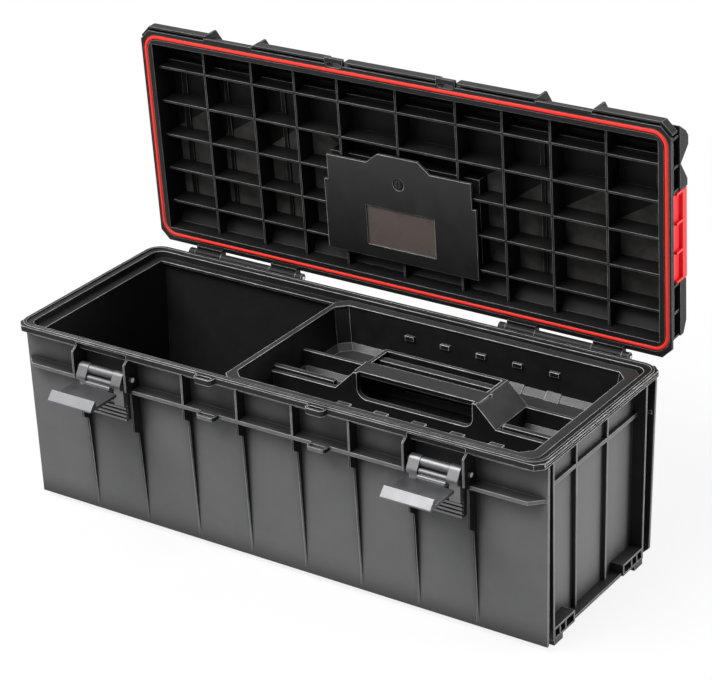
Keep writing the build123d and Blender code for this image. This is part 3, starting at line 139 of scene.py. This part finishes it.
def moulded(name, dark, light, rough, grain=0.25, edge=0.0006, specular=0.5, worn_and_highlight=None,
            metallic=0.0, recess_shade=None, sheen_fade=None, patch=7.0):
    """Moulded plastic, rubber or metal: fine grain, slow colour drift, soft edges; if given, rubbed
    corners with a painted highlight, painted shade in recesses, and a painted sheen that darkens towards
    the lower edge.
    """
    mat = bpy.data.materials.new(name)
    t = Tree(mat)
    coord = t.add("ShaderNodeTexCoord").outputs["Object"]
    drift = t.noise(coord, patch, 3.0)
    cloud = t.noise(coord, 60.0, 4.0)
    speck = t.noise(coord, 1400.0, 2.0, 0.6)
    fac = t.math("ADD", t.math("MULTIPLY", drift, 0.6), t.math("MULTIPLY", cloud, 0.4))
    base = t.ramp(fac, dark, light)
    if sheen_fade:
        # Painted sheen: slowly darker towards its lower edge
        high = t.add("ShaderNodeSeparateXYZ")
        t.link(t.add("ShaderNodeTexCoord").outputs["Generated"], high.inputs["Vector"])
        base = t.mix(t.remap(high.outputs["Z"], 0.0, 0.85, 0.0, 1.0), sheen_fade, base, True)
    if recess_shade:
        # Painted shade: recesses get little light, so their colour is darkened
        base = t.mix(t.remap(t.shade(NOOK_REACH, 8), 0.55, 0.95, 0.0, 1.0), recess_shade, base, True)
    bevel = t.add("ShaderNodeBevel", samples=6)
    bevel.inputs["Radius"].default_value = edge
    if worn_and_highlight:
        # Corners that stand out get rubbed wear and a painted highlight: inner corners are shaded by
        # their walls and get neither
        geo = t.add("ShaderNodeNewGeometry")
        dot = t.add("ShaderNodeVectorMath", operation="DOT_PRODUCT")
        t.link(bevel.outputs["Normal"], dot.inputs[0])
        t.link(geo.outputs["Normal"], dot.inputs[1])
        wear_and_glint = t.remap(dot.outputs["Value"], 0.997, 0.88, 0.0, 1.0)
        wear_and_glint = t.math("MULTIPLY", wear_and_glint, t.remap(t.shade(EDGE_REACH, 6), 0.72, 0.92, 0.0, 1.0))
        wear_and_glint = t.math("MULTIPLY", wear_and_glint, t.remap(cloud, 0.35, 0.65, 0.55, 1.0))
        base = t.mix(wear_and_glint, worn_and_highlight, base, False)
    bsdf = t.add("ShaderNodeBsdfPrincipled")
    t.link(base, bsdf.inputs["Base Color"])
    t.link(t.remap(cloud, 0.3, 0.7, rough - 0.05, rough + 0.07), bsdf.inputs["Roughness"])
    bsdf.inputs["Metallic"].default_value = metallic
    bsdf.inputs["Specular IOR Level"].default_value = specular
    bump = t.add("ShaderNodeBump")
    bump.inputs["Strength"].default_value = grain
    bump.inputs["Distance"].default_value = GRAIN_DEEP
    t.link(speck, bump.inputs["Height"])
    t.link(bevel.outputs["Normal"], bump.inputs["Normal"])
    t.link(bump.outputs["Normal"], bsdf.inputs["Normal"])
    t.link(bsdf.outputs["BSDF"], t.out.inputs["Surface"])
    return mat


# Black plastic with painted shade in its recesses and a painted highlight on rubbed corners
BLACK = moulded("black_plastic", (0.086, 0.086, 0.087), (0.106, 0.106, 0.107), 0.42,
                edge=0.0011, specular=0.22, worn_and_highlight=(0.42, 0.42, 0.42), recess_shade=(0.018, 0.018, 0.018))
# Near-black copy of the black plastic for the sides of the fins: painted shade
FIN_SIDE_SHADE = moulded("black_plastic_fin_painted_shade", (0.009, 0.009, 0.0092), (0.014, 0.014, 0.0142), 0.50,
                   edge=0.0004, specular=0.08)
# Dark copy of the black plastic for the fin edges: painted shade, with a thin painted highlight line
# along the edge
FIN_EDGE_SHADE = moulded("black_plastic_fin_edge_painted_shade", (0.026, 0.026, 0.0262), (0.036, 0.036, 0.0362), 0.46,
                   edge=0.0006, specular=0.12, worn_and_highlight=(0.34, 0.34, 0.34))
# Much darker copy of the black plastic for the inside of the tub and the top of its rim: painted shade
INSIDE_SHADE = moulded("black_plastic_inside_painted_shade", (0.011, 0.011, 0.0112), (0.015, 0.015, 0.0152), 0.46,
                 edge=0.0011, specular=0.16, worn_and_highlight=(0.80, 0.80, 0.80))
LID_BLACK = moulded("black_plastic_lid", (0.012, 0.012, 0.0122), (0.017, 0.017, 0.0172), 0.42,
                    edge=0.0007, specular=0.12, worn_and_highlight=(0.42, 0.42, 0.42), recess_shade=(0.006, 0.006, 0.006))
# Roof of the lid: random lighter patches of painted sheen
LID_ROOF_SHEEN = moulded("black_plastic_roof_painted_sheen", (0.012, 0.012, 0.012), (0.096, 0.092, 0.089), 0.36,
                   specular=0.16, patch=22.0)
TRAY_WALL = moulded("black_plastic_tray", (0.006, 0.006, 0.0062), (0.009, 0.009, 0.0092), 0.36,
                    edge=0.0012, specular=0.20, worn_and_highlight=(0.80, 0.80, 0.80))
# Lighter copy of the tray's plastic for its up-facing floors and tops: painted light
TRAY_TOP_LIT = moulded("black_plastic_tray_floor_painted_light", (0.030, 0.030, 0.0305), (0.038, 0.038, 0.0385), 0.36,
                   edge=0.0012, specular=0.26, worn_and_highlight=(0.80, 0.80, 0.80))
# The cover gets a painted sheen, darker towards its lower edge
COVER = moulded("black_plastic_cover", (0.022, 0.0212, 0.0212), (0.030, 0.0288, 0.0288), 0.34,
                edge=0.0010, specular=0.32, worn_and_highlight=(0.50, 0.50, 0.50), sheen_fade=(0.011, 0.0107, 0.011))
WINDOW = moulded("brown_window", (0.086, 0.068, 0.060), (0.106, 0.086, 0.078), 0.30,
                 grain=0.15, edge=0.0005, specular=0.3)
GREY = moulded("grey_plastic", (0.11, 0.11, 0.114), (0.14, 0.14, 0.145), 0.44,
               edge=0.0009, worn_and_highlight=(0.30, 0.30, 0.30), metallic=0.92)
DARK_GREY = moulded("dark_grey_plastic", (0.135, 0.135, 0.138), (0.17, 0.17, 0.174), 0.40,
                    edge=0.0009, worn_and_highlight=(0.22, 0.22, 0.22), metallic=0.8)
RED = moulded("red_plastic", (0.70, 0.014, 0.020), (0.78, 0.022, 0.030), 0.38,
              grain=0.12, edge=0.0008, specular=0.3, worn_and_highlight=(0.84, 0.09, 0.09))
RUBBER = moulded("red_rubber", (0.72, 0.030, 0.020), (0.82, 0.044, 0.030), 0.55,
                 grain=0.3, edge=0.0003, specular=0.2)
STEEL = moulded("zinc_steel", (0.50, 0.50, 0.50), (0.66, 0.66, 0.65), 0.30,
                grain=0.2, edge=0.0003, metallic=1.0)
PIN_END = moulded("bright_pin_end", (0.72, 0.72, 0.72), (0.86, 0.86, 0.86), 0.35,
                  grain=0.2, edge=0.0003, metallic=0.2)
DARK_STEEL = moulded("dark_steel", (0.020, 0.020, 0.021), (0.034, 0.034, 0.035), 0.40,
                     grain=0.2, edge=0.0003, specular=0.3)

SLOT_LOOK = {"black_plastic": BLACK, "grey_plastic": GREY, "red_plastic": RED,
             "red_rubber": RUBBER, "steel": STEEL}
NODE_LOOK = {"lid_shell": LID_BLACK, "carry_handle": LID_BLACK, "tool_tray": TRAY_WALL,
             "handle_cover": COVER, "cover_screw": DARK_STEEL,
             "latch_lever_left": DARK_GREY, "latch_lever_right": DARK_GREY}
slot_of = {p["node"]: p["material_slot"] for p in frame["record"]["subparts"]}
for name, obj in nodes.items():
    obj.data.materials.clear()
    obj.data.materials.append(NODE_LOOK.get(name, SLOT_LOOK[slot_of[name]]))


def more_looks(obj, *looks):
    """Adds looks that single faces can take by their number, from 1."""
    for look in looks:
        obj.data.materials.append(look)
    return obj.data.polygons


# The sunk window of the cover is brown: the one front face of its size
WINDOW_AREA = (0.003, 0.0045)
LEVEL_STEPS = 10000  # faces within a tenth of a millimetre are at one level
cover = nodes["handle_cover"]
cover_faces = more_looks(cover, WINDOW)
cover_turn = cover.matrix_world.to_3x3()
front = min((cover_turn @ f.normal).y for f in cover_faces)
levels = {}
for f in cover_faces:
    facing = cover_turn @ f.normal
    if facing.y < front + 0.001:
        level = round((cover.matrix_world @ f.center).dot(facing) * LEVEL_STEPS)
        levels.setdefault(level, []).append(f)
for group in levels.values():
    if WINDOW_AREA[0] < sum(f.area for f in group) < WINDOW_AREA[1]:
        for f in group:
            f.material_index = 1

# The tub is satin outside; painted shade gives darker copies of its plastic inside and on top of its
# rim, on the sides of its fins, and on the fin edges below the long rib
INNER_X, INNER_Y = 0.3005, 0.1035  # inside of the tub
BACK_X, BACK_Y = 0.318, 0.120      # walls that face in lie within these
FLOOR_Z, LEDGE_Z, FIN_TOP_Z = 0.001, 0.2045, 0.166
WALL_Y, FIN_Y = 0.1065, 0.1085     # outside of the walls, and where fin edges begin
BACK_LEAN = 0.0065                 # the back wall leans out up to the ledge
tub = nodes["base_tub"]
for f in more_looks(tub, INSIDE_SHADE, FIN_SIDE_SHADE, FIN_EDGE_SHADE):
    at = tub.matrix_world @ f.center
    above = at.z > FLOOR_Z
    between = abs(at.x) < INNER_X
    inside = between and abs(at.y) < INNER_Y and above
    facing_in = max(-f.normal.x * at.x / INNER_X, -f.normal.y * at.y / INNER_Y)
    wall = facing_in > 0.7 and abs(at.x) < BACK_X and abs(at.y) < BACK_Y and above
    lean = BACK_LEAN * at.z / LEDGE_Z
    stands_out = not -FIN_Y < at.y < FIN_Y + lean
    # Inside, walls that face in, and the top of the rim take painted shade
    if inside or wall or at.z > LEDGE_Z:
        f.material_index = 1
    # Sides of the fins take painted shade
    elif abs(f.normal.x) > 0.7 and abs(at.y) > WALL_Y and between:
        f.material_index = 2
    # Fin edges below the long rib take painted shade with a painted highlight line
    elif abs(f.normal.y) > 0.6 and between and at.z < FIN_TOP_Z and stands_out:
        f.material_index = 3

# Painted light: the tray's floors and tops, which face up, take a lighter copy of its plastic than its
# walls
for f in more_looks(nodes["tool_tray"], TRAY_TOP_LIT):
    if f.normal.z > 0.3:
        f.material_index = 1

# Painted sheen: the roof of the lid gets random lighter patches between its ribs
ROOF_Y = 0.165
lid = nodes["lid_shell"]
lid_turn = lid.matrix_world.to_3x3()
for f in more_looks(lid, LID_ROOF_SHEEN):
    if (lid.matrix_world @ f.center).y > ROOF_Y and (lid_turn @ f.normal).y < -0.9:
        f.material_index = 1

# Latch pins: dark along their length, bright on their end faces
for name in ("latch_pin_left", "latch_pin_right"):
    for f in more_looks(nodes[name], DARK_STEEL, PIN_END):
        f.material_index = 1 if abs(f.normal.x) < 0.9 else 2


# Small forms inside the lid and on the tray
BOX_FACES = ((0, 1, 3, 2), (4, 6, 7, 5), (0, 4, 5, 1), (2, 3, 7, 6), (0, 2, 6, 4), (1, 5, 7, 3))


def blocks(name, boxes, place, body, look):
    """One piece made of boxes ((x0, x1), (y0, y1), (z0, z1)) in mm, set in place."""
    verts, quads = [], []
    for xs, ys, zs in boxes:
        n = len(verts)
        verts += [place @ (Vector((x, y, z)) / 1000) for x in xs for y in ys for z in zs]
        quads += [[n + k for k in q] for q in BOX_FACES]
    mesh = bpy.data.meshes.new(name)
    mesh.from_pydata(verts, [], quads)
    obj = bpy.data.objects.new(name, mesh)
    scene.collection.objects.link(obj)
    mesh.materials.append(look)
    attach(obj, body)


# Low ridges along the roof of the lid, written for a shut lid and swung open with it
HINGE = Vector((0.0, 0.132, 0.210))
LID_OPEN = math.radians(-87.4)
RIDGE_X = ((292.0, 299.0), (235.0, 240.0), (159.0, 164.0))
RIDGE_Y, RIDGE_Z = (-79.0, 79.0), (247.6, 250.4)
swing = Matrix.Translation(HINGE) @ Matrix.Rotation(LID_OPEN, 4, "X") @ Matrix.Translation(-HINGE)
ridges = [((s * a, s * b), RIDGE_Y, RIDGE_Z) for a, b in RIDGE_X for s in (-1, 1)]
blocks("lid_ridges", ridges, swing, "lid", LID_BLACK)

# Five tabs on the front edge of the tray, in the tray's lighter copy of its plastic: painted light
TAB_X, TAB_PITCH, TAB_HALF = 168.5, 44.0, 7.5
TAB_Y, TAB_Z = (-96.6, -90.5), (205.3, 207.0)
tab_mids = [TAB_X + k * TAB_PITCH for k in (-2, -1, 0, 1, 2)]
tabs = [((x - TAB_HALF, x + TAB_HALF), TAB_Y, TAB_Z) for x in tab_mids]
blocks("tray_front_tabs", tabs, Matrix.Identity(4), "tray", TRAY_TOP_LIT)

# Pale floor, whose glow grows to white away from the object
FLOOR_HALF, FLOOR_DROP = 6.0, -0.0002
FLOOR_DARK, FLOOR_LIGHT = (0.70, 0.70, 0.70), (0.74, 0.74, 0.74)
GLOW_NEAR, GLOW_FAR, GLOW_LEAST = 0.45, 1.3, 0.86
corners = [(x * FLOOR_HALF, y * FLOOR_HALF, FLOOR_DROP) for x, y in ((-1, -1), (1, -1), (1, 1), (-1, 1))]
floor_mesh = bpy.data.meshes.new("floor")
floor_mesh.from_pydata(corners, [], [(0, 1, 2, 3)])
floor = bpy.data.objects.new("floor", floor_mesh)
scene.collection.objects.link(floor)
floor_mat = bpy.data.materials.new("pale_floor")
ft = Tree(floor_mat)
floor_coord = ft.add("ShaderNodeTexCoord").outputs["Object"]
diffuse = ft.add("ShaderNodeBsdfDiffuse")
ft.link(ft.ramp(ft.noise(floor_coord, 3.0), FLOOR_DARK, FLOOR_LIGHT), diffuse.inputs["Color"])
far = ft.add("ShaderNodeVectorMath", operation="LENGTH")
ft.link(floor_coord, far.inputs[0])
share = ft.remap(far.outputs["Value"], GLOW_NEAR, GLOW_FAR, GLOW_LEAST, 1.0)
ft.blend(ft.math("MULTIPLY", ft.seen(), share), diffuse.outputs["BSDF"],
         ft.glow("ShaderNodeEmission", 1.0))
floor.data.materials.append(floor_mat)

# White backdrop that lights the object only a little
AMBIENT = 0.15
world = bpy.data.worlds.new("studio")
scene.world = world
wt = Tree(world, "ShaderNodeOutputWorld")
wt.blend(wt.seen(), wt.glow("ShaderNodeBackground", AMBIENT), wt.glow("ShaderNodeBackground", 1.0))


# Soft lamps: place, target, size, watts
LAMPS = {
    "front_soft": ((-0.9, -1.5, 2.8), (0.0, 0.0, 0.12), (2.8, 1.8), 165.0),
    "key_right": ((2.6, 1.1, 0.7), (0.2, 0.0, 0.12), (1.3, 1.3), 88.0),
    "back_top": ((0.0, 1.3, 2.3), (0.0, 0.0, 0.2), (2.2, 1.2), 14.0),
}
for name, (place, target, size, watts) in LAMPS.items():
    data = bpy.data.lights.new(name, "AREA")
    data.shape = "RECTANGLE"
    data.size, data.size_y = size
    data.energy = watts
    lamp = bpy.data.objects.new(name, data)
    scene.collection.objects.link(lamp)
    lamp.location = place
    lamp.rotation_euler = (Vector(target) - Vector(place)).to_track_quat("-Z", "Y").to_euler()

# Camera at the photograph's place, worked out for an image of 712 by 680
AZ, EL, ROLL = math.radians(34.81), math.radians(25.37), math.radians(-2.34)
TARGET = Vector((0.0, 0.0, 0.126))
DIST, SIDE, RISE = 2.65209, 0.02763, 0.08288
FOCAL_PX, IMAGE_W, SENSOR_W = 2531.19, 712, 36.0
back = Vector((math.sin(AZ) * math.cos(EL), -math.cos(AZ) * math.cos(EL), math.sin(EL)))
right = Vector((math.cos(AZ), math.sin(AZ), 0.0))
up = back.cross(right)
eye = TARGET + back * DIST + right * SIDE + up * RISE
cam_x = right * math.cos(ROLL) + up * math.sin(ROLL)
cam_y = up * math.cos(ROLL) - right * math.sin(ROLL)
cam_data = bpy.data.cameras.new("camera")
cam_data.sensor_fit = "HORIZONTAL"
cam_data.sensor_width = SENSOR_W
cam_data.lens = FOCAL_PX / IMAGE_W * SENSOR_W
cam = bpy.data.objects.new("camera", cam_data)
scene.collection.objects.link(cam)
cam_turn = Matrix((cam_x, cam_y, back)).transposed().to_4x4()
cam.matrix_world = Matrix.Translation(eye) @ cam_turn
scene.camera = cam
